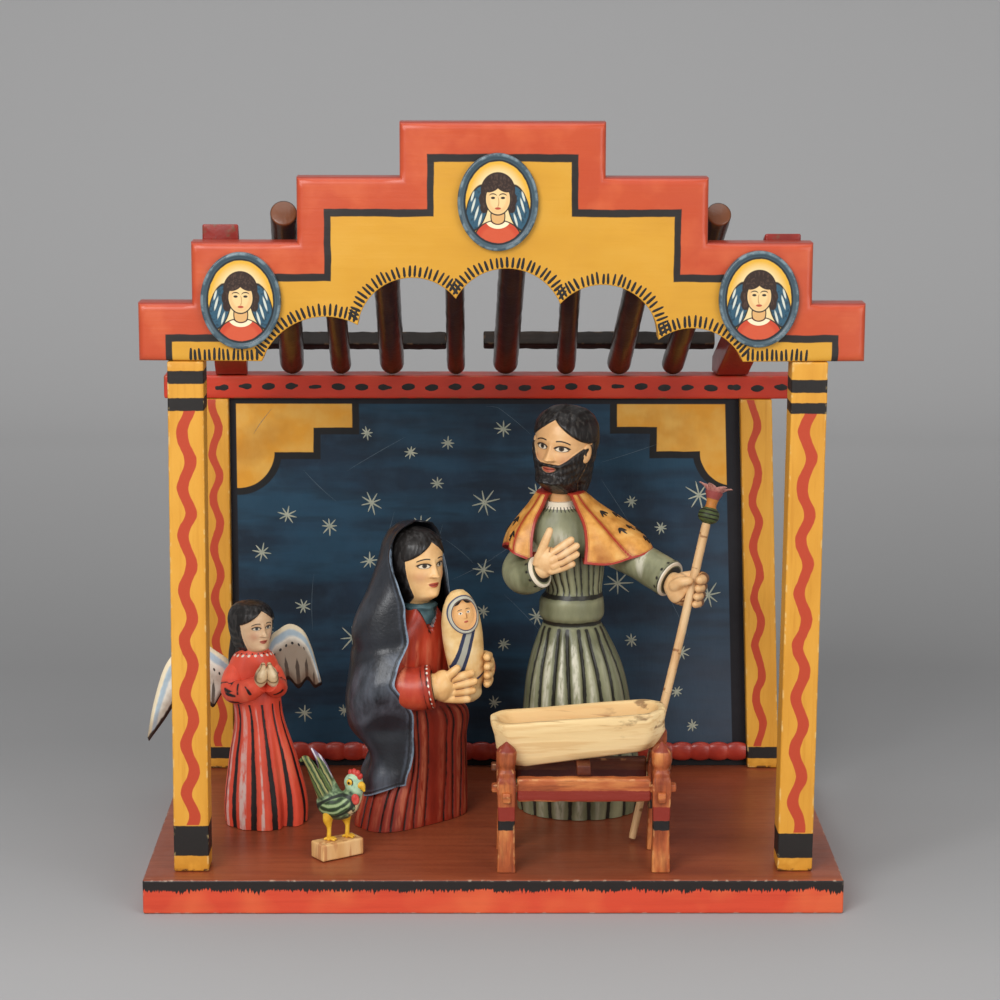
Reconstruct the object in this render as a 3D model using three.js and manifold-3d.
// Painted wooden nativity nicho: an open stage house with loose carved figures.
// Sizes are millimetres. Stage coordinates: X to the right, Y from the front edge of the base board
// to the back, Z up from the top of the base board.

import * as THREE from 'three';
import { mergeVertices } from 'three/addons/utils/BufferGeometryUtils.js';
import Module from 'manifold-3d';

const wasm = await Module();
wasm.setup();

// Clearance between pieces that rest on, sit in or are cut by each other
const seatGap = 0.3;

// Base board and posts
const baseWidth = 500;
const baseDepth = 322;
const baseThickness = 25.4;
const postSection = 25.4;
const frontInset = 18.6;
const rearInset = 18.6;
const frontPostOffset = 216.8;
const frontPostHeight = 369.6;
const frontPostLean = 2.4;
const rearPostOffset = 221;
const rearPostHeight = 303;
const rearLeftLean = 0;
const rearRightLean = -11.8;
const dowelRadius = 5;
const dowelDepth = 15;

// Stepped pediment: half widths and tops of its steps, and its scalloped lower edge as points from
// its middle: corner, crown, cusp, crown, cusp and so on to the far corner
const pedimentShift = 5.3;
const pedimentThickness = 25.4;
const pedimentHalfWidths = [251.8, 214.5, 141.5, 70.7];
const pedimentStepTops = [40.3, 82.3, 127, 164.6];
const scallopPoints = [
  [-166.5, 0], [-130, 30.4], [-100, 25.2], [-64.7, 58], [-32.2, 43.5], [-1.3, 64.3],
  [40, 40], [72.5, 53.3], [108.3, 15.3], [133, 23.3], [167, 0],
];

// Oval medallions: side, place from the pediment's middle and height above its foot
const medallionWidth = 55.5;
const medallionHeight = 67;
const medallionThickness = 4.5;
const medallionEdge = 1.5;
const medallionPlaces = [['left', -180.3, 42.5], ['middle', -3.3, 110.5], ['right', 177, 44]];

// Rear beam, back panel and beaded rail
const beamHeight = 18.6;
const beamHalfLength = 259;
const panelRecess = 8;
const panelThickness = 6;
const railLift = 5.4;
const railHeight = 15.6;
const railDepth = 7;
const railBeads = 28;
const railValley = 0.8;

// Roof: rafters as side, front middle, rear middle and top at the front; logs as rear place, front
// place and radius, from left to right
const rafterWidth = 25.4;
const rafterHeight = 24;
const raftersAcross = [['left', -190.8, -206.9, 463], ['right', 201.2, 188.4, 457]];
const logFrontHeight = 470;
const logRearInset = 5;
const roofLogs = [
  [-157.9, -147, 9.9], [-119.3, -116.5, 8.3], [-78.9, -78.2, 10], [-28.4, -28.6, 7.4],
  [10.8, 15, 10.3], [58.6, 56, 7.9], [100.6, 111, 9.7], [143.3, 156.7, 9.1],
];
const lathSection = 12;
const lathSetback = 4;
const leftLathEnd = -36;
const rightLathEnd = -6.7;

// Figures: robes as rows of height, half width, half depth and middle; heads as rows of middle and
// radii above the neck; arms as shoulder, elbow, wrist, elbow radius and wrist radius; hands as palm,
// its radii, fingertips and finger radius

// Father, his cape, staff and flower
const fatherPlace = [67, 178];
const fatherRobe = [
  [0, 47, 40, 0, 0], [10, 48, 41, 0, 0], [60, 43, 37, -1, 0], [116, 34.5, 30, -3.5, 0],
  [148, 22.5, 20, -6, 1], [152, 24.3, 21.5, -6.2, 1], [166, 23.9, 21.2, -6.2, 1], [170, 22, 19.6, -5, 1],
  [198, 27, 21, -8, 2], [216, 30, 20, -11.5, 3], [228, 24, 17, -14, 3], [236, 13, 13, -15.5, 2],
  [241, 11.5, 12, -16, 1],
];
const fatherCape = [
  [196, 52, 32, -3, 0], [203, 55, 33, -3, 0], [222, 43, 28, -7, 2], [236, 27, 21, -13, 3],
  [247, 17, 17, -16, 3],
];
const capeThickness = 4;
const capeOpening = [[-29, -70], [-24, -6], [-9, -6], [4, -70]];
const capeOverhang = 2;
const fatherNeck = [-17.5, 1, 241];
const fatherHeadTurn = -28;
const fatherHeadTilt = 5;
const fatherHead = [
  [[0, 3, 44], [21.5, 24, 28.5]], [[0, -7, 24], [15, 15, 17]], [[0, -10, 17], [14, 12, 13]],
  [[0, 9, 40], [24.5, 22, 31]], [[0, 1, 10], [10, 10, 16]], [[0, -22, 35], [4, 6, 7]],
  [[0, 14, 20], [17, 10, 20]],
];
const fatherRightArm = [[-36, -2, 214], [-47, -9, 188], [-30, -30, 193], 13, 11];
const fatherRightHand = [
  [-26, -33, 200], [11, 6, 12],
  [[-25, -33, 224], [-9, -34, 217], [-5.5, -34, 212], [-5.5, -34, 206], [-8, -34, 198]], 3.6,
];
const fatherLeftArm = [[24, 0, 211], [46, -14, 203], [67, -36, 186], 14.5, 13];
const fatherFist = [[73, -43, 182], [12.5, 11, 13]];
const fistFingers = [
  [[74, -50, 191], [88.5, -49, 190.5]], [[74, -50, 184.7], [88, -49, 184.2]],
  [[74, -50, 178.4], [87, -49, 177.9]], [[74, -50, 172.1], [86, -49, 171.6]],
];
const fistFingerRadius = 4.2;
const staffRadius = 3.5;
const staffFoot = [36.7, -89];
const staffGrip = [81, -48, 182];
const staffLength = 241;
const flowerBulbRadius = 8;
const flowerBulbHeight = 12;
const flowerNeckRadius = 4;
const flowerCupHeight = 20;
const flowerEase = 3;
const flowerLip = 4;
const petalCount = 6;
const petalReach = 11;
const petalHalfWidth = 4;
const petalHalfThickness = 1.6;
const petalLean = 38;
const petalSetback = 2;

// Mother, her mantle with its openings and cut hem, and the swaddled child
const motherPlace = [-62.5, 148];
const motherTurn = 40;
const motherRobe = [
  [0, 47, 25, 0.5, 0], [20, 45, 24.5, 2.5, 0], [60, 42, 23.5, 5, 0], [84, 42, 22, 4, -1],
  [91, 34, 21, 0, -1], [112, 31, 20, 0, -3], [134, 32, 19, 0, -6], [148, 27, 17, 0, -8],
  [158, 14, 12, 0, -10], [168, 9.5, 9.5, 0, -11],
];
const motherMantle = [
  [22, 42, 33, -6, 3], [50, 43, 33, -6, 3], [80, 45, 33, -7, 3], [101, 46, 34, -8, 3],
  [125, 43, 32, -7, 2], [162, 39, 29, -6, 0], [184, 31, 25, -4, -4], [205, 23.5, 22, -1, -8],
  [220, 19.5, 19, 0, -9], [229, 13, 13, 0, -9], [232.5, 5, 5, 0, -9],
];
const motherNeck = [0, -11, 168];
const motherHeadTurn = 0;
const motherHead = [
  [[0, 0, 36], [16.5, 18.5, 23]], [[0, -9, 20], [12, 12, 14]], [[0, 0, 4], [8.5, 8.5, 14]],
  [[0, -17, 29], [3, 5, 6]],
];
const motherRightArm = [[-24, -8, 140], [-31, -15, 111], [-9, -37, 112], 13, 14.5];
const motherRightHand = [
  [-2, -43, 113], [9.5, 7.5, 12],
  [[12, -54, 122], [14, -56, 115.5], [14, -56, 109], [11, -54, 102.5], [-1, -50, 125]], 3.3,
];
const motherLeftArm = [[24, -8, 140], [41, -15, 115], [39, -37, 119], 11, 10];
const motherLeftHand = [
  [37, -44, 121], [6, 8, 12], [[29, -56, 131], [28, -57, 124], [28, -57, 117], [29, -55, 110]], 3.3,
];
const mantleFaceOpening = [[-24, -70], [-14, -24], [-14, -16], [14, -16], [14, -24], [24, -70]];
const mantleFaceFoot = 150;
const mantleFaceTop = 222;
const mantleFrontOpening = [[-30, -70], [-22, -14], [26, -10], [60, -24], [60, -70]];
const mantleFrontTop = 176;
const mantleFarEdge = 6;
const mantleFarFoot = 92;
const mantleHemFront = -4;
const mantleHemFoot = 58;
const mantleReach = 80;
const childFoot = [24, -43, 96];
const childCrown = [13, -40, 183];
const childHalfWidth = 15;
const childHalfDepth = 11;
const childStations = [
  [0, 0.35], [0.12, 0.62], [0.4, 0.92], [0.62, 1], [0.78, 0.9], [0.93, 0.6], [1, 0.25],
];

// Angel; each wing's outline as its root, four points along the upper edge, then tips and notches
const angelPlace = [-172, 141];
const angelTurn = 12;
const angelRobe = [
  [0, 31, 28, 0, 0], [8, 31.5, 28.5, 0, 0], [50, 25.5, 22, -2, 0], [86, 18.5, 16, -5, 0],
  [104, 21, 16, -7, 1], [118, 21, 15, -8, 2], [127, 14, 11, -8, 1], [131, 8.5, 8.5, -8, 0],
];
const angelNeck = [-8, 0, 131];
const angelHeadTurn = 26;
const angelHead = [
  [[0, 0, 22], [14.5, 16, 18]], [[0, -5, 13], [11, 11, 11]], [[0, 0, 2], [7, 7, 8]],
  [[0, 5, 20], [16.5, 14, 20.5]], [[0, -15, 18], [2.4, 3.6, 4]],
];
const angelArms = [
  [[-24, 1, 119], [-27, -9, 105], [-2.5, -22, 117], 9, 7.5],
  [[9, 1, 119], [16, -9, 105], [-2.5, -22, 117], 9, 7.5],
];
const angelHands = [[-5.1, -25, 125], [0.1, -25, 125]];
const angelHandRadii = [3.6, 5.5, 10.5];
const rightWing = [
  [-3, 108], [8, 131], [19, 147], [38, 124], [46, 95], [40, 92], [36, 112],
  [30, 88], [25, 110], [18, 86], [7, 102],
];
const leftWing = [
  [-11, 108], [-30, 133], [-46, 138], [-73, 116], [-88, 60], [-78, 66], [-72, 90],
  [-64, 70], [-56, 94], [-46, 76], [-30, 98],
];
const wingThickness = 5;
const wingSetback = 13;

// Rooster and its block
const roosterPlace = [-113.8, 55];
const blockLength = 35;
const blockWidth = 17;
const blockHeight = 12.6;
const blockTurn = 34.7;
const roosterBodyPlace = [1, 0, 39];
const roosterBodyRadii = [16, 9, 11];
const roosterBodyTilt = 14;
const roosterNeck = [[[10, 0, 40], [14, 0, 50], [13, 0, 57]], [8.5, 6.5, 6]];
const roosterHead = [[13.4, 0, 57.5], [6.6, 5.4, 6.4]];
const roosterBeak = [[[18, 0, 55], [21.5, 0, 51]], [2.4, 0.6]];
const roosterWattle = [[17.5, 0, 47.5], [2, 1.8, 4]];
const roosterComb = [[12, 0, 65], [6, 1.4, 4.5]];
const roosterPlumes = [
  [[[-8, 0, 42], [-16, 0, 56], [-24, 0, 77]], [7, 5, 1.2]],
  [[[-4, 0, 44], [-10, 0, 60], [-16, 0, 79]], [7, 5, 1.2]],
];
const roosterLegs = [['left', -6, -3.5], ['right', 7, 3.5]];
const roosterLegTop = 34;
const roosterLegRadius = 1.7;
const roosterToes = [[-35, 5], [0, 5], [35, 5], [180, 3]];
const toeRadius = 1.3;
const toeTipRadius = 1;

// Manger: leg middles, joints and trough
const mangerLegSpan = 111;
const mangerLegDepth = 52.4;
const mangerPlace = [64.7, 48.5];
const mangerLegSection = 14.5;
const mangerShoulder = 74;
const legFootShare = 0.9;
const legEase = 4;
const finialHeight = 21.4;
const finialRows = [[0.08, 0.76], [0.3, 1.04], [0.72, 1.04], [1, 0.12]];
const longRailTop = 69.4;
const longRailHeight = 18;
const endRailTop = 72;
const endRailHeight = 20.8;
const railThickness = 10;
const tenonWidth = 7;
const longTenonHeight = 5.6;
const endTenonHeight = 5.4;
const tenonNub = 3;
const tenonShoulder = 1;
const longTenonDrop = 5;
const slatThickness = 8;
const slatInset = 6;
const slatWidth = 10.7;
const troughTopLength = 128;
const troughBottomLength = 104;
const troughTopWidth = 45;
const troughBottomWidth = 27;
const troughHeight = 32.5;
const troughBellyHeight = 13.4;
const troughBellyLength = 121;
const troughBellyWidth = 34;
const troughWall = 6;
const troughFloor = 9;
const troughTaper = 0.11;
const troughCorner = 5;
const troughTurn = 1.5;

// Places that follow from the sizes above
const frontPostFace = frontInset;
const rearPostFace = baseDepth - rearInset - postSection;
const pedimentFoot = frontPostHeight + seatGap;
const pedimentBack = frontPostFace + pedimentThickness;
const beamFoot = rearPostHeight + seatGap;
const beamTop = beamFoot + beamHeight;
const panelFront = rearPostFace + panelRecess;

const paint = {
  red: [0xc8452a, 0.55], redBrown: [0x7c3117, 0.4], ochre: [0xd99a35, 0.5], darkBlue: [0x1d2f45, 0.6],
  rim: [0x51656d, 0.5], log: [0x3a2014, 0.35], olive: [0x5d6748, 0.5], orange: [0xcd7d2b, 0.5],
  flesh: [0xdba673, 0.5], black: [0x15151a, 0.45], scarlet: [0xb02a1f, 0.5], cream: [0xd9b77d, 0.5],
  feather: [0xcfc6b8, 0.5], rawWood: [0xdcb377, 0.7], green: [0x46572f, 0.5], yellow: [0xd9b53c, 0.5],
  twig: [0xc89763, 0.6], pink: [0xb65a55, 0.6], stain: [0x8a3a20, 0.45], dowelWood: [0xc9a878, 0.8],
};

// Geometry helpers

/** A closed three.js geometry as a solid that can be joined and cut. */
function solidOf(geometry) {
  const bare = geometry.clone();
  for (const name of Object.keys(bare.attributes)) {
    if (name !== 'position') bare.deleteAttribute(name);
  }
  const merged = mergeVertices(bare, 1e-4);
  const index = merged.index.array;
  const kept = [];
  for (let i = 0; i < index.length; i += 3) {
    const [a, b, c] = [index[i], index[i + 1], index[i + 2]];
    if (a !== b && b !== c && c !== a) kept.push(a, b, c);
  }
  return new wasm.Manifold(new wasm.Mesh({
    numProp: 3,
    vertProperties: new Float32Array(merged.attributes.position.array),
    triVerts: new Uint32Array(kept),
  }));
}

/** The solid's surface as a three.js geometry. */
function geometryOf(solid) {
  const surface = solid.getMesh();
  const geometry = new THREE.BufferGeometry();
  geometry.setAttribute('position', new THREE.BufferAttribute(new Float32Array(surface.vertProperties), 3));
  geometry.setIndex(new THREE.BufferAttribute(new Uint32Array(surface.triVerts), 1));
  geometry.computeVertexNormals();
  return geometry;
}

/** All solids joined into one. */
function joined(solids) {
  return solids.reduce((whole, next) => whole.add(next));
}

/** The first solid with all the others cut away. */
function cutBy(solid, ...tools) {
  return tools.reduce((rest, tool) => rest.subtract(tool), solid);
}

/** The largest body of a solid, without crumbs that a cut leaves. */
function largestBody(solid) {
  const bodies = solid.decompose();
  return bodies.reduce((best, body) => (body.volume() > best.volume() ? body : best));
}

/** A skin over rings of equally many points, closed by a fan at each end. */
function loft(rings) {
  const sides = rings[0].length;
  const positions = [];
  for (const ring of rings) {
    for (const point of ring) positions.push(point.x, point.y, point.z);
  }
  const faces = [];
  for (let r = 0; r + 1 < rings.length; r += 1) {
    for (let s = 0; s < sides; s += 1) {
      const a = r * sides + s;
      const b = r * sides + (s + 1) % sides;
      faces.push(a, b, b + sides, a, b + sides, a + sides);
    }
  }
  const ends = [[rings[0], 0, true], [rings.at(-1), (rings.length - 1) * sides, false]];
  for (const [ring, first, flip] of ends) {
    const middle = ring.reduce((sum, point) => sum.add(point), new THREE.Vector3()).divideScalar(sides);
    const hub = positions.length / 3;
    positions.push(middle.x, middle.y, middle.z);
    for (let s = 0; s < sides; s += 1) {
      const a = first + s;
      const b = first + (s + 1) % sides;
      faces.push(...(flip ? [hub, b, a] : [hub, a, b]));
    }
  }
  const geometry = new THREE.BufferGeometry();
  geometry.setAttribute('position', new THREE.Float32BufferAttribute(positions, 3));
  geometry.setIndex(faces);
  geometry.computeVertexNormals();
  return geometry;
}

/** A level oval ring; power 2 is an ellipse and a higher power squares its corners. */
function ovalRing(z, halfWidth, halfDepth, x, y, sides, power = 2) {
  const points = [];
  for (let s = 0; s < sides; s += 1) {
    const angle = (2 * Math.PI * (s + 0.5)) / sides;
    const c = Math.cos(angle);
    const d = Math.sin(angle);
    const across = Math.sign(c) * Math.abs(c) ** (2 / power);
    const along = Math.sign(d) * Math.abs(d) ** (2 / power);
    points.push(new THREE.Vector3(x + halfWidth * across, y + halfDepth * along, z));
  }
  return points;
}

/** A turned or draped form from rows of height, half width, half depth and middle. */
function stackedForm(rows, sides, grow = 0, power = 2) {
  const rings = rows.map(([z, w, d, x, y], i) => {
    const lift = i === 0 ? -grow : (i === rows.length - 1 ? grow : 0);
    return ovalRing(z + lift, w + grow, d + grow, x, y, sides, power);
  });
  return solidOf(loft(rings));
}

/** A scaled ball, optionally placed by a matrix. */
function ball(middle, radii, grow = 0, matrix = null, around = 10, rows = 7) {
  const geometry = new THREE.SphereGeometry(1, around, rows);
  geometry.scale(radii[0] + grow, radii[1] + grow, radii[2] + grow);
  geometry.translate(...middle);
  if (matrix) geometry.applyMatrix4(matrix);
  return solidOf(geometry);
}

/** A round limb along a smooth path, with a radius at each point. */
function limb(points, radii, grow = 0, sides = 8) {
  const curve = new THREE.CatmullRomCurve3(points.map((p) => new THREE.Vector3(...p)));
  const steps = (points.length - 1) * 2;
  const frames = curve.computeFrenetFrames(steps, false);
  const rings = [];
  for (let i = 0; i <= steps; i += 1) {
    const place = curve.getPoint(i / steps);
    if (i === 0) place.addScaledVector(frames.tangents[i], -grow);
    if (i === steps) place.addScaledVector(frames.tangents[i], grow);
    const low = Math.floor(i / 2);
    const high = Math.min(low + 1, radii.length - 1);
    const radius = (i % 2 ? (radii[low] + radii[high]) / 2 : radii[low]) + grow;
    const ring = [];
    for (let s = 0; s < sides; s += 1) {
      const angle = (2 * Math.PI * s) / sides;
      const out = frames.normals[i].clone().multiplyScalar(radius * Math.cos(angle));
      out.addScaledVector(frames.binormals[i], radius * Math.sin(angle));
      ring.push(place.clone().add(out));
    }
    rings.push(ring);
  }
  return solidOf(loft(rings));
}

/** A matrix that lays the Y axis along a direction at a place. */
function alongMatrix(place, direction) {
  const turn = new THREE.Quaternion().setFromUnitVectors(new THREE.Vector3(0, 1, 0), direction);
  return new THREE.Matrix4().compose(place, turn, new THREE.Vector3(1, 1, 1));
}

/** A straight round rod between two points. */
function rod(start, end, radius, sides) {
  const from = new THREE.Vector3(...start);
  const span = new THREE.Vector3(...end).sub(from);
  const geometry = new THREE.CylinderGeometry(radius, radius, span.length(), sides);
  geometry.applyMatrix4(alongMatrix(from.clone().addScaledVector(span, 0.5), span.clone().normalize()));
  return solidOf(geometry);
}

/** A box between two corners. */
function boxBetween(low, high) {
  const size = high.map((value, i) => value - low[i]);
  const geometry = new THREE.BoxGeometry(...size);
  geometry.translate(...low.map((value, i) => value + size[i] / 2));
  return solidOf(geometry);
}

/** A plate: an outline in X and Z, with its front at a depth and its thickness to the back. */
function uprightPlate(shape, front, thickness, curveSegments = 8) {
  const settings = { depth: thickness, bevelEnabled: false, curveSegments };
  const geometry = new THREE.ExtrudeGeometry(shape, settings);
  geometry.rotateX(Math.PI / 2);
  geometry.translate(0, front + thickness, 0);
  return solidOf(geometry);
}

/** A column of an outline in X and Y between two heights. */
function columnOf(points, bottom, top) {
  const shape = new THREE.Shape(points.map((p) => new THREE.Vector2(...p)));
  const geometry = new THREE.ExtrudeGeometry(shape, { depth: top - bottom, bevelEnabled: false });
  geometry.translate(0, 0, bottom);
  return solidOf(geometry);
}

/** A named mesh of a solid in a paint. */
function piece(name, solid, [color, roughness]) {
  const material = new THREE.MeshStandardMaterial({ color, roughness, metalness: 0 });
  const mesh = new THREE.Mesh(geometryOf(solid), material);
  mesh.name = name;
  return mesh;
}

/** A group of meshes at a place on the stage, turned about Z. */
function standing([x, y], turnDegrees, meshes) {
  const group = new THREE.Group();
  group.position.set(x, y, seatGap);
  group.rotation.z = THREE.MathUtils.degToRad(turnDegrees);
  group.add(...meshes);
  return group;
}

// Housing

/** Post middles at the foot, with height and lean. */
function postPlaces() {
  const frontY = frontPostFace + postSection / 2;
  const rearY = rearPostFace + postSection / 2;
  return [
    ['front_left', -frontPostOffset, frontY, frontPostHeight, frontPostLean],
    ['front_right', frontPostOffset, frontY, frontPostHeight, frontPostLean],
    ['rear_left', -rearPostOffset, rearY, rearPostHeight, rearLeftLean],
    ['rear_right', rearPostOffset, rearY, rearPostHeight, rearRightLean],
  ];
}

/** Base board with a blind dowel hole under each post. */
function baseBoard() {
  const board = boxBetween([-baseWidth / 2, 0, -baseThickness], [baseWidth / 2, baseDepth, 0]);
  const holes = postPlaces().map(([, x, y]) => rod(
    [x, y, -dowelDepth - seatGap], [x, y, postSection], dowelRadius + seatGap, 10));
  return piece('base_board', cutBy(board, ...holes), paint.stain);
}

/** A square post, leaning a little, bored for its dowel. */
function post([name, x, y, height, lean]) {
  const geometry = new THREE.BoxGeometry(postSection, postSection, height - seatGap);
  geometry.translate(x, y, (height + seatGap) / 2);
  const places = geometry.attributes.position;
  for (let i = 0; i < places.count; i += 1) {
    places.setX(i, places.getX(i) + (lean * (places.getZ(i) - seatGap)) / (height - seatGap));
  }
  const hole = rod([x, y, -1], [x, y, dowelDepth + seatGap], dowelRadius + seatGap, 10);
  return piece(`${name}_post`, cutBy(solidOf(geometry), hole), paint.ochre);
}

/** The hidden pin between a post and the base board. */
function postDowel([name, x, y]) {
  const pin = rod([x, y, -dowelDepth], [x, y, dowelDepth], dowelRadius, 10);
  return piece(`${name}_dowel`, pin, paint.dowelWood);
}

/** Adds the arc through a start, a crown and an end to an outline that is at the start. */
function arcThrough(shape, start, crown, end) {
  const [ax, ay] = start;
  const [bx, by] = crown;
  const [cx, cy] = end;
  const d = 2 * (ax * (by - cy) + bx * (cy - ay) + cx * (ay - by));
  const [aa, bb, cc] = [ax * ax + ay * ay, bx * bx + by * by, cx * cx + cy * cy];
  const x = (aa * (by - cy) + bb * (cy - ay) + cc * (ay - by)) / d;
  const y = (aa * (cx - bx) + bb * (ax - cx) + cc * (bx - ax)) / d;
  const radius = Math.hypot(ax - x, ay - y);
  shape.absarc(x, y, radius, Math.atan2(ay - y, ax - x), Math.atan2(cy - y, cx - x), true);
}

/** Stepped board with a scalloped lower edge. */
function pediment() {
  const shape = new THREE.Shape();
  shape.moveTo(-pedimentHalfWidths[0], 0);
  shape.lineTo(...scallopPoints[0]);
  for (let i = 0; i + 2 < scallopPoints.length; i += 2) {
    arcThrough(shape, scallopPoints[i], scallopPoints[i + 1], scallopPoints[i + 2]);
  }
  shape.lineTo(pedimentHalfWidths[0], 0);
  pedimentHalfWidths.forEach((half, i) => {
    shape.lineTo(half, i ? pedimentStepTops[i - 1] : 0);
    shape.lineTo(half, pedimentStepTops[i]);
  });
  for (let i = pedimentHalfWidths.length - 1; i >= 0; i -= 1) {
    shape.lineTo(-pedimentHalfWidths[i], pedimentStepTops[i]);
    if (i) shape.lineTo(-pedimentHalfWidths[i], pedimentStepTops[i - 1]);
  }
  const mesh = piece('pediment', uprightPlate(shape, frontPostFace, pedimentThickness), paint.red);
  mesh.position.set(pedimentShift, 0, pedimentFoot);
  return mesh;
}

/** Oval disc with an eased front edge, glued on the pediment. */
function medallion([side, x, z]) {
  const half = medallionHeight / 2;
  const profile = [
    [0, 0], [half, 0], [half, medallionThickness - medallionEdge],
    [half - medallionEdge, medallionThickness], [0, medallionThickness],
  ].map((p) => new THREE.Vector2(...p));
  const geometry = new THREE.LatheGeometry(profile, 24);
  geometry.scale(medallionWidth / medallionHeight, 1, 1);
  geometry.rotateX(Math.PI);
  const mesh = piece(`${side}_medallion`, solidOf(geometry), paint.rim);
  mesh.position.set(pedimentShift + x, frontPostFace - seatGap, pedimentFoot + z);
  return mesh;
}

/** Beam across the rear posts. */
function rearBeam() {
  const beam = boxBetween(
    [-beamHalfLength, rearPostFace, beamFoot], [beamHalfLength, rearPostFace + postSection, beamTop]);
  return piece('rear_beam', beam, paint.red);
}

/** Inner face of a rear post at a height. */
function rearPostInner(side, z) {
  const lean = side < 0 ? rearLeftLean : rearRightLean;
  return side * (rearPostOffset - postSection / 2) + (lean * z) / rearPostHeight;
}

/** Board between the rear posts, from the base to the beam. */
function backPanel() {
  const low = seatGap;
  const high = rearPostHeight;
  const shape = new THREE.Shape();
  shape.moveTo(rearPostInner(-1, low) + seatGap, low);
  shape.lineTo(rearPostInner(1, low) - seatGap, low);
  shape.lineTo(rearPostInner(1, high) - seatGap, high);
  shape.lineTo(rearPostInner(-1, high) + seatGap, high);
  return piece('back_panel', uprightPlate(shape, panelFront, panelThickness), paint.darkBlue);
}

/** Row of beads on a strip along the foot of the panel. */
function beadRail() {
  const middle = railLift + railHeight / 2;
  const left = rearPostInner(-1, railLift + railHeight) + seatGap;
  const right = rearPostInner(1, railLift + railHeight) - seatGap;
  const pitch = (right - left) / railBeads;
  const y = panelFront - seatGap - railDepth / 2;
  const rings = [];
  for (let i = 0; i <= railBeads * 2; i += 1) {
    const share = i % 2 ? 1 : railValley;
    const [halfHeight, halfDepth] = [(railHeight / 2) * share, (railDepth / 2) * share];
    const ring = ovalRing(left + (i * pitch) / 2, halfHeight, halfDepth, 0, 0, 6);
    rings.push(ring.map((p) => new THREE.Vector3(p.z, y + p.y, middle - p.x)));
  }
  return piece('bead_rail', solidOf(loft(rings)), paint.scarlet);
}

/** Skewed rafter: cut upright at the pediment, seated flat on the beam. */
function rafter([side, frontX, rearX, frontTop]) {
  const front = pedimentBack + seatGap;
  const seat = beamTop + seatGap;
  const rear = rearPostFace + postSection;
  const slope = (frontTop - rafterHeight - seat) / (rearPostFace - front);
  const topAtRear = frontTop - slope * (rear - front);
  const shape = new THREE.Shape([
    new THREE.Vector2(front, frontTop - rafterHeight), new THREE.Vector2(rearPostFace, seat),
    new THREE.Vector2(rear, seat), new THREE.Vector2(rear, topAtRear), new THREE.Vector2(front, frontTop),
  ]);
  const geometry = new THREE.ExtrudeGeometry(shape, { depth: rafterWidth, bevelEnabled: false });
  const skew = (rearX - frontX) / (rear - front);
  const places = geometry.attributes.position;
  for (let i = 0; i < places.count; i += 1) {
    const [along, up, across] = [places.getX(i), places.getY(i), places.getZ(i)];
    places.setXYZ(i, frontX - rafterWidth / 2 + across + skew * (along - front), along, up);
  }
  return piece(`${side}_rafter`, solidOf(geometry), paint.scarlet);
}

/** Inner face of a rafter at a depth. */
function rafterInner([side, frontX, rearX], y) {
  const front = pedimentBack + seatGap;
  const share = (y - front) / (rearPostFace + postSection - front);
  return frontX + (rearX - frontX) * share + (side === 'left' ? 0.5 : -0.5) * rafterWidth;
}

/** Ends of a log's middle line and its slope. */
function logLine([rearX, frontX, radius]) {
  const rear = new THREE.Vector3(rearX, rearPostFace + logRearInset, beamTop + seatGap + radius);
  const fall = Math.atan2(logFrontHeight - rear.z, rear.y - pedimentBack - radius / 2);
  const front = new THREE.Vector3(
    frontX, pedimentBack + seatGap + radius * Math.sin(fall), logFrontHeight);
  return { front, rear, fall };
}

/** Roof pole: sawn square at the front and rounded at the rear. */
function roofLog(row, number) {
  const radius = row[2];
  const { front, rear } = logLine(row);
  const span = rear.clone().sub(front);
  const length = span.length();
  const profile = [
    [0, 0], [radius, 0], [radius, length], [radius * 0.8, length + radius * 0.6],
    [radius * 0.4, length + radius * 0.92], [0, length + radius],
  ].map((p) => new THREE.Vector2(...p));
  const geometry = new THREE.LatheGeometry(profile, 10);
  geometry.applyMatrix4(alongMatrix(front, span.normalize()));
  return piece(`roof_log_${number + 1}`, solidOf(geometry), paint.log);
}

/** Square lath across a run of logs, lying on the thickest of them. */
function lath(name, rows, startX, endX) {
  const thickest = rows.reduce((best, row) => (row[2] > best[2] ? row : best));
  const { rear, fall } = logLine(thickest);
  const lift = thickest[2] + lathSection / 2 + seatGap;
  const y = rear.y - lathSetback * Math.cos(fall) + lift * Math.sin(fall);
  const z = rear.z + lathSetback * Math.sin(fall) + lift * Math.cos(fall);
  const geometry = new THREE.BoxGeometry(endX - startX, lathSection, lathSection);
  geometry.rotateX(-fall);
  geometry.translate((startX + endX) / 2, y, z);
  return piece(name, solidOf(geometry), paint.log);
}

/** All fixed pieces of the stage house. */
function housing() {
  const half = roofLogs.length / 2;
  const [leftLathStart, rightLathStop] = raftersAcross.map((row) => rafterInner(row, rearPostFace));
  const posts = postPlaces();
  return [
    baseBoard(), ...posts.map(post), ...posts.map(postDowel), pediment(), ...medallionPlaces.map(medallion),
    rearBeam(), backPanel(), beadRail(), ...raftersAcross.map(rafter), ...roofLogs.map(roofLog),
    lath('left_lath', roofLogs.slice(0, half), leftLathStart + 2 * seatGap, leftLathEnd),
    lath('right_lath', roofLogs.slice(half), rightLathEnd, rightLathStop - 2 * seatGap),
  ];
}

// Figures

/** A head's frame: at the neck, turned about Z and tilted to the side. */
function headMatrix(neck, turnDegrees, tiltDegrees = 0) {
  const turn = new THREE.Euler(
    0, THREE.MathUtils.degToRad(tiltDegrees), THREE.MathUtils.degToRad(turnDegrees), 'ZYX');
  return new THREE.Matrix4().makeRotationFromEuler(turn).setPosition(...neck);
}

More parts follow.
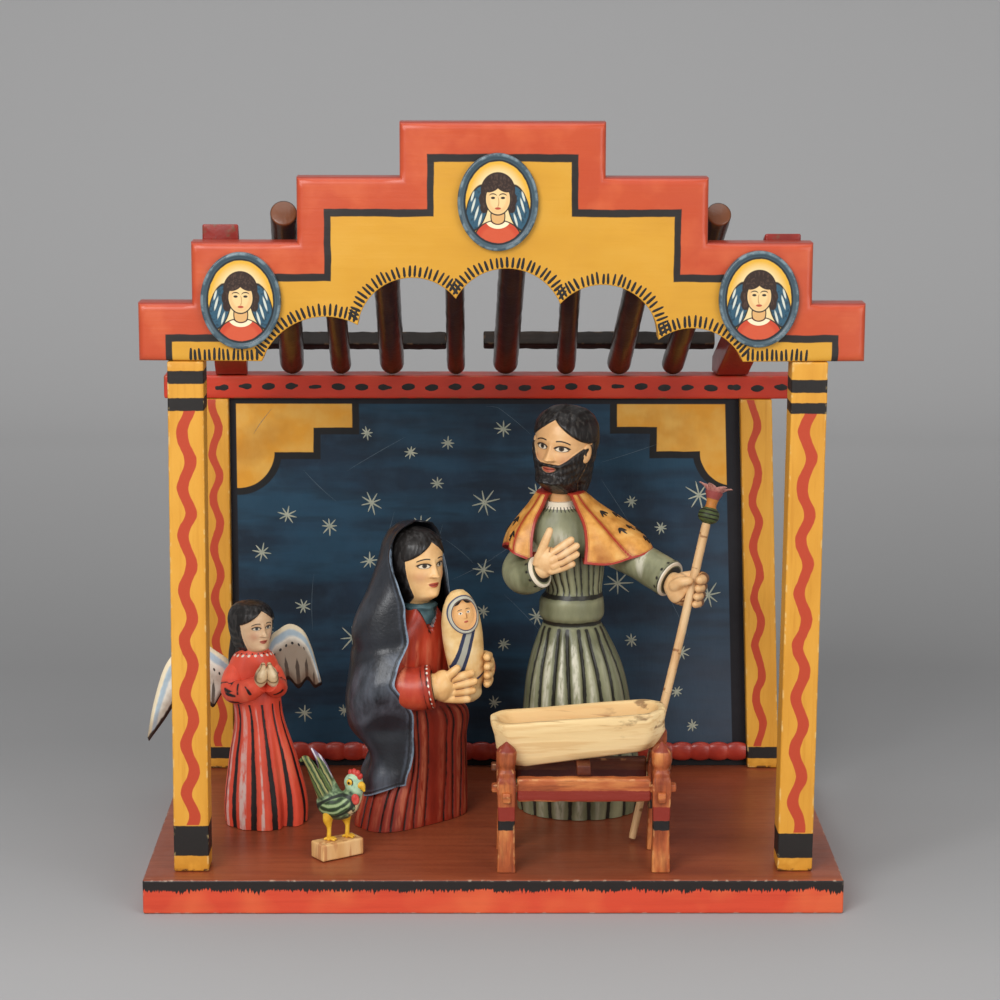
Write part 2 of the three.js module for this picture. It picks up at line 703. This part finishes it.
/** A head on its neck from rows of middle and radii. */
function headSolid(rows, matrix, grow = 0) {
  return joined(rows.map(([middle, radii]) => ball(middle, radii, grow, matrix)));
}

/** A hand of a palm and fingers that run from it to their tips. */
function hand(palm, palmRadii, tips, fingerRadius, grow = 0) {
  const fingers = tips.map((tip) => limb(
    [palm, tip], [fingerRadius, fingerRadius * 0.8], grow, 6));
  return joined([ball(palm, palmRadii, grow, null, 8, 6), ...fingers]);
}

/** A sleeve in two straight lengths with a round elbow. */
function bentArm(shoulder, elbow, wrist, elbowRadius, wristRadius, grow = 0) {
  return [
    limb([shoulder, elbow], [elbowRadius, elbowRadius], grow),
    ball(elbow, Array(3).fill(elbowRadius), grow),
    limb([elbow, wrist], [elbowRadius, wristRadius], grow),
  ];
}

/** Standing father with his cape, two arms, staff and its flower. */
function father() {
  const robe = (grow) => stackedForm(fatherRobe, 18, grow);
  const matrix = headMatrix(fatherNeck, fatherHeadTurn, fatherHeadTilt);
  const head = (grow) => headSolid(fatherHead, matrix, grow);
  const rightArm = (grow) => joined([...bentArm(...fatherRightArm, grow), hand(...fatherRightHand, grow)]);
  const leftArm = (grow) => joined([
    ...bentArm(...fatherLeftArm, grow), ball(...fatherFist, grow),
    ...fistFingers.map((ends) => limb(ends, [fistFingerRadius, fistFingerRadius], grow, 6)),
  ]);
  const grip = new THREE.Vector3(...staffGrip);
  const foot = new THREE.Vector3(staffFoot[0], staffFoot[1], staffRadius / 2);
  const along = grip.clone().sub(foot).normalize();
  const tip = foot.clone().addScaledVector(along, staffLength);
  const staff = rod(foot.toArray(), tip.toArray(), staffRadius, 8);
  const staffHole = rod(foot.toArray(), tip.toArray(), staffRadius + seatGap, 12);
  const capeFoot = fatherCape[0][0] - capeOverhang;
  const opening = columnOf(capeOpening, capeFoot, fatherCape.at(-1)[0] + capeOverhang);
  const under = fatherCape.map(([z, w, d, x, y], i) => [
    i ? z - capeThickness : capeFoot, w - capeThickness, d - capeThickness, x, y]);
  const cape = cutBy(stackedForm(fatherCape, 18), stackedForm(under, 18), robe(seatGap), head(seatGap),
    rightArm(seatGap), leftArm(seatGap), opening);
  return standing(fatherPlace, 0, [
    piece('father_robe', robe(0), paint.olive),
    piece('father_head', largestBody(cutBy(head(0), robe(seatGap))), paint.flesh),
    piece('father_cape', largestBody(cape), paint.orange),
    piece('father_right_arm', largestBody(cutBy(rightArm(0), robe(seatGap))), paint.olive),
    piece('father_left_arm', largestBody(cutBy(leftArm(0), robe(seatGap), staffHole)), paint.olive),
    piece('staff', staff, paint.twig),
    staffFlower(tip.addScaledVector(along, seatGap), along),
  ]);
}

/** Turned bulb and cup with a ring of petals, on the staff's tip. */
function staffFlower(place, along) {
  const profile = [
    [0, 0], [flowerNeckRadius, 0], [flowerBulbRadius, flowerEase],
    [flowerBulbRadius, flowerBulbHeight - flowerEase], [flowerNeckRadius, flowerBulbHeight],
    [flowerNeckRadius, flowerCupHeight - flowerEase],
    [flowerNeckRadius + flowerEase, flowerCupHeight + flowerLip], [0, flowerCupHeight + flowerLip],
  ].map((p) => new THREE.Vector2(...p));
  const matrix = alongMatrix(place, along);
  const stem = new THREE.LatheGeometry(profile, 10);
  stem.applyMatrix4(matrix);
  const petals = [];
  for (let i = 0; i < petalCount; i += 1) {
    const petal = new THREE.SphereGeometry(1, 5, 4);
    petal.scale(petalHalfWidth, petalReach, petalHalfThickness);
    petal.translate(0, petalReach * 0.8, 0);
    petal.rotateX(THREE.MathUtils.degToRad(petalLean));
    petal.translate(0, flowerCupHeight, petalSetback);
    petal.rotateY((2 * Math.PI * i) / petalCount);
    petal.applyMatrix4(matrix);
    petals.push(solidOf(petal));
  }
  return piece('staff_flower', joined([solidOf(stem), ...petals]), paint.pink);
}

/** Kneeling mother with her mantle and arms, and the child that she holds. */
function mother() {
  const robe = (grow) => stackedForm(motherRobe, 20, grow, 3);
  const matrix = headMatrix(motherNeck, motherHeadTurn);
  const head = (grow) => headSolid(motherHead, matrix, grow);
  const rightArm = (grow) => joined([...bentArm(...motherRightArm, grow), hand(...motherRightHand, grow)]);
  const leftArm = (grow) => joined([...bentArm(...motherLeftArm, grow), hand(...motherLeftHand, grow)]);
  const faceOpening = columnOf(mantleFaceOpening, mantleFaceFoot, mantleFaceTop);
  const frontOpening = columnOf(mantleFrontOpening, 0, mantleFrontTop);
  const farSide = boxBetween([mantleFarEdge, -mantleReach, 0], [mantleReach, mantleReach, mantleFarFoot]);
  const hem = boxBetween([-mantleReach, mantleHemFront, 0], [mantleReach, mantleReach, mantleHemFoot]);
  const mantle = cutBy(stackedForm(motherMantle, 16), robe(seatGap), head(seatGap), rightArm(seatGap),
    leftArm(seatGap), childSolid(seatGap), faceOpening, frontOpening, farSide, hem);
  const held = (arm) => largestBody(cutBy(arm(0), robe(seatGap), childSolid(seatGap)));
  return standing(motherPlace, motherTurn, [
    piece('mother_robe', robe(0), paint.scarlet),
    piece('mother_head', largestBody(cutBy(head(0), robe(seatGap))), paint.flesh),
    piece('mother_mantle', largestBody(mantle), paint.black),
    piece('mother_right_arm', held(rightArm), paint.scarlet),
    piece('mother_left_arm', held(leftArm), paint.scarlet),
    piece('child', largestBody(cutBy(childSolid(0), robe(seatGap))), paint.cream),
  ]);
}

/** Swaddled child: a spindle from foot to crown. */
function childSolid(grow) {
  const foot = new THREE.Vector3(...childFoot);
  const crown = new THREE.Vector3(...childCrown);
  const rings = childStations.map(([share, size], i) => {
    const middle = foot.clone().lerp(crown, share);
    const lift = i === 0 ? -grow : (i === childStations.length - 1 ? grow : 0);
    const [halfWidth, halfDepth] = [childHalfWidth * size + grow, childHalfDepth * size + grow];
    return ovalRing(middle.z + lift, halfWidth, halfDepth, middle.x, middle.y, 12);
  });
  return solidOf(loft(rings));
}

/** A flat wing with a curved upper edge and feather tips below. */
function wing(points) {
  const shape = new THREE.Shape();
  shape.moveTo(...points[0]);
  shape.splineThru(points.slice(1, 5).map((p) => new THREE.Vector2(...p)));
  for (let i = 5; i + 1 < points.length; i += 2) {
    shape.quadraticCurveTo(...points[i], ...points[i + 1]);
  }
  shape.lineTo(...points[0]);
  return uprightPlate(shape, wingSetback, wingThickness, 3);
}

/** Angel with joined hands and two wings. */
function angel() {
  const robe = (grow) => stackedForm(angelRobe, 16, grow);
  const head = headSolid(angelHead, headMatrix(angelNeck, angelHeadTurn));
  const hands = angelHands.map((middle) => ball(middle, angelHandRadii));
  const sleeves = angelArms.flatMap((row) => bentArm(...row));
  const back = robe(seatGap);
  return standing(angelPlace, angelTurn, [
    piece('angel_robe', robe(0), paint.scarlet),
    piece('angel_head', largestBody(cutBy(head, back)), paint.flesh),
    piece('angel_arms', largestBody(cutBy(joined([...hands, ...sleeves]), back)), paint.scarlet),
    piece('angel_right_wing', largestBody(cutBy(wing(rightWing), back)), paint.feather),
    piece('angel_left_wing', largestBody(cutBy(wing(leftWing), back)), paint.feather),
  ]);
}

/** A rooster's leg with four toes that stand on the block. */
function roosterLeg([side, x, y], top) {
  const toes = roosterToes.map(([turn, reach]) => {
    const angle = THREE.MathUtils.degToRad(turn);
    const tip = [x + reach * Math.cos(angle), y + reach * Math.sin(angle), top + toeTipRadius];
    return limb([[x, y, top + toeRadius], tip], [toeRadius, toeTipRadius], 0, 4);
  });
  const shin = rod([x, y, top + toeTipRadius], [x, y, roosterLegTop], roosterLegRadius, 6);
  return piece(`rooster_${side}_leg`, joined([shin, ...toes]), paint.yellow);
}

/** Rooster on two legs on its block. */
function rooster() {
  const block = new THREE.BoxGeometry(blockLength, blockWidth, blockHeight);
  block.translate(0, 0, blockHeight / 2);
  block.rotateZ(THREE.MathUtils.degToRad(blockTurn));
  const tilt = new THREE.Matrix4().makeRotationY(THREE.MathUtils.degToRad(roosterBodyTilt));
  const body = joined([
    ball([0, 0, 0], roosterBodyRadii, 0, tilt.setPosition(...roosterBodyPlace)),
    limb(...roosterNeck), ball(...roosterHead), limb(...roosterBeak, 0, 6),
    ...[roosterWattle, roosterComb].map((row) => ball(...row, 0, null, 8, 6)),
    ...roosterPlumes.map((row) => limb(...row, 0, 6)),
  ]);
  const top = blockHeight + seatGap;
  const legs = roosterLegs.map((row) => roosterLeg(row, top));
  const sockets = roosterLegs.map(([, x, y]) => rod(
    [x, y, top], [x, y, roosterLegTop + seatGap], roosterLegRadius + seatGap, 8));
  return standing(roosterPlace, 0, [
    piece('rooster_block', solidOf(block), paint.rawWood),
    piece('rooster_body', largestBody(cutBy(body, ...sockets)), paint.green),
    ...legs,
  ]);
}

// Manger

/** Heights and places shared by the manger's joints. */
function mangerJoints() {
  const half = mangerLegSpan / 2;
  const deep = mangerLegDepth / 2;
  const longTenonMiddle = longRailTop - longTenonDrop - longTenonHeight / 2;
  const endTenonMiddle = endRailTop - endRailHeight + tenonShoulder + endTenonHeight / 2;
  const reachX = half + mangerLegSection / 2 + tenonNub;
  const reachY = deep + mangerLegSection / 2 + tenonNub;
  return { half, deep, longTenonMiddle, endTenonMiddle, reachX, reachY };
}

/** Tenon of a long rail through both its legs. */
function longTenon(y, grow) {
  const { longTenonMiddle, reachX } = mangerJoints();
  const up = longTenonHeight / 2 + grow;
  const wide = tenonWidth / 2 + grow;
  return boxBetween([-reachX, y - wide, longTenonMiddle - up], [reachX, y + wide, longTenonMiddle + up]);
}

/** Tenon of an end rail through both its legs. */
function endTenon(x, grow) {
  const { endTenonMiddle, reachY } = mangerJoints();
  const up = endTenonHeight / 2 + grow;
  const wide = tenonWidth / 2 + grow;
  return boxBetween([x - wide, -reachY, endTenonMiddle - up], [x + wide, reachY, endTenonMiddle + up]);
}

/** Leg with a carved finial, mortised for both rails. */
function mangerLeg(name, x, y) {
  const half = mangerLegSection / 2;
  const corner = half * Math.SQRT2;
  const square = (z, share) => ovalRing(z, corner * share, corner * share, x, y, 4);
  const rings = [
    square(0, legFootShare), square(mangerShoulder - legEase, 1),
    ...finialRows.map(([share, size]) => square(mangerShoulder + finialHeight * share, size)),
  ];
  const mortised = cutBy(solidOf(loft(rings)), longTenon(y, seatGap), endTenon(x, seatGap));
  return piece(name, mortised, paint.redBrown);
}

/** Manger frame with its loose trough. */
function manger() {
  const { half, deep } = mangerJoints();
  const inner = mangerLegSection / 2 + seatGap;
  const wide = railThickness / 2;
  const rows = [['front', -deep], ['rear', deep]];
  const sides = [['left', -half], ['right', half]];
  const legs = rows.flatMap(([row, y]) => sides.map(
    ([side, x]) => mangerLeg(`manger_${row}_${side}_leg`, x, y)));
  const longFoot = longRailTop - longRailHeight;
  const longRails = rows.map(([row, y]) => piece(`manger_${row}_rail`, joined([
    boxBetween([-half + inner, y - wide, longFoot], [half - inner, y + wide, longRailTop]),
    longTenon(y, 0)]), paint.redBrown));
  const endFoot = endRailTop - endRailHeight;
  const endRails = sides.map(([side, x]) => piece(`manger_${side}_rail`, joined([
    boxBetween([x - wide, -deep + inner, endFoot], [x + wide, deep - inner, endRailTop]),
    endTenon(x, 0)]), paint.redBrown));
  const slatFoot = longRailTop + seatGap;
  const slatTop = slatFoot + slatThickness;
  const slatReach = deep + wide - slatInset;
  const slat = boxBetween([-slatWidth / 2, -slatReach, slatFoot], [slatWidth / 2, slatReach, slatTop]);
  return standing(mangerPlace, 0, [
    ...legs, ...longRails, ...endRails, piece('manger_slat', slat, paint.redBrown),
    trough(half, slatTop),
  ]);
}

/** Hollowed wooden trough, resting on the slat and tipped on to the left end rail; it is shallower at
 *  its right end. */
function trough(half, slatTop) {
  const tip = Math.atan2(slatTop - endRailTop, half - (railThickness + slatWidth) / 2);
  const row = (z, length, width) => {
    const ring = ovalRing(z, length / 2, width / 2, 0, 0, 20, troughCorner);
    return ring.map((p) => new THREE.Vector3(p.x, p.y, z - (2 * troughTaper * z * p.x) / troughTopLength));
  };
  const outer = loft([
    row(0, troughBottomLength, troughBottomWidth),
    row(troughBellyHeight, troughBellyLength, troughBellyWidth),
    row(troughHeight, troughTopLength, troughTopWidth),
  ]);
  const hollow = loft([
    row(troughFloor, troughBottomLength - 4 * troughWall, troughBottomWidth - 2 * troughWall),
    row(troughHeight + 1, troughTopLength - 2 * troughWall, troughTopWidth - 2 * troughWall),
  ]);
  const mesh = piece('trough', cutBy(solidOf(outer), solidOf(hollow)), paint.rawWood);
  mesh.rotation.set(0, -tip, THREE.MathUtils.degToRad(troughTurn), 'ZYX');
  mesh.position.set(0, 0, slatTop + seatGap + (slatWidth / 2) * Math.tan(tip));
  return mesh;
}

const stage = new THREE.Group();
stage.position.set(0, -baseDepth / 2, baseThickness);
stage.add(...housing(), father(), mother(), angel(), rooster(), manger());

const nicho = new THREE.Group();
nicho.add(stage);

export default nicho;
